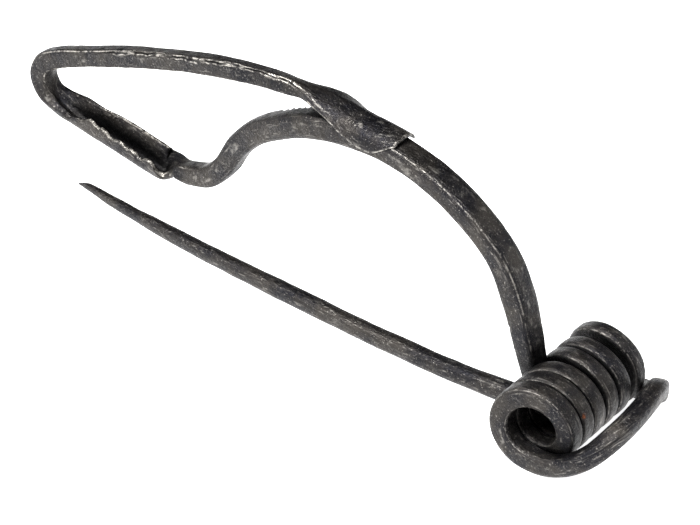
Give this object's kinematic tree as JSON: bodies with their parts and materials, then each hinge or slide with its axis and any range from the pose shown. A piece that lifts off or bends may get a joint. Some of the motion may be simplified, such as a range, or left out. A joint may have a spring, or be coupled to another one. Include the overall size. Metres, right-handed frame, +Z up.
{
  "type": "bow brooch",
  "caption": "Hand-forged iron bow brooch (fibula) bent from one rod, with a coiled spring, a long straight pin, an arched bow and a foot whose end is wrapped back over the bow",
  "frame": {"origin": "on the resting surface, under the middle of the bounding box", "axes": "+X from the foot towards the spring, +Y along the spring, away from the side on which the chord leaves the bow's half, +Z up as it rests on its spring and its pin"},
  "size_m": [0.1148, 0.0262, 0.0396],
  "materials": {
    "forged_iron": "blackened hammered iron, oiled, worn bright along its edges"
  },
  "bodies": {
    "root": {"brooch": "forged_iron"}
  },
  "joints": []
}
